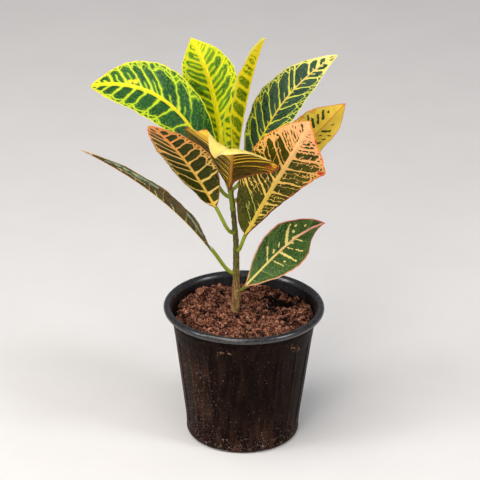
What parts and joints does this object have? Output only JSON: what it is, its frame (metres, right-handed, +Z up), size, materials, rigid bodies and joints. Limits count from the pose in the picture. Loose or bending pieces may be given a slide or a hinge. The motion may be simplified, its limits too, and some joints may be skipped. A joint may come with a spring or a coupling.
{
  "type": "potted croton",
  "caption": "Young croton with broad yellow-veined and orange-edged leaves on one upright stem, growing in a round ribbed nursery pot of soil.",
  "frame": {"origin": "centre of the pot's flat underside, where it stands on a surface", "axes": "+Z up along the pot's axis, -Y the front of the plant, +X to the right when seen from the front"},
  "size_m": [0.2425, 0.1545, 0.3852],
  "materials": {
    "pot": "satin black-brown moulded plastic, dusty with soil",
    "soil": "rough reddish-brown crumbs of potting mix",
    "stem": "matt olive-brown bark, tan at the foot",
    "leaf_upper_left": "waxy dark green blade with a yellow midrib, veins and edge",
    "leaf_top_yellow": "waxy yellow-green blade with a broad yellow midrib",
    "leaf_top_folded": "olive green young blade with yellow midrib and edge",
    "leaf_upper_right": "waxy blue-green blade with fine yellow veins and a cream tip",
    "leaf_back_right": "yellow blade with dark green spots and an orange tip",
    "leaf_front_right": "matt underside, olive cells in a peach net of veins, orange edge",
    "leaf_front_left": "matt underside, dark olive cells, orange midrib and salmon tip",
    "leaf_front_centre": "yellow and brown striped blade with a pale yellow tip",
    "leaf_low_left": "olive brown underside, grey-green upper face with cream spots",
    "leaf_low_right": "dark green blade with a cream midrib turning pink at the tip"
  },
  "bodies": {
    "root": {"pot": "pot", "soil": "soil", "stem": "stem", "leaf_upper_left": "leaf_upper_left", "leaf_top_yellow": "leaf_top_yellow", "leaf_top_folded": "leaf_top_folded", "leaf_upper_right": "leaf_upper_right", "leaf_back_right": "leaf_back_right", "leaf_front_right": "leaf_front_right", "leaf_front_left": "leaf_front_left", "leaf_front_centre": "leaf_front_centre", "leaf_low_left": "leaf_low_left", "leaf_low_right": "leaf_low_right"}
  },
  "joints": []
}
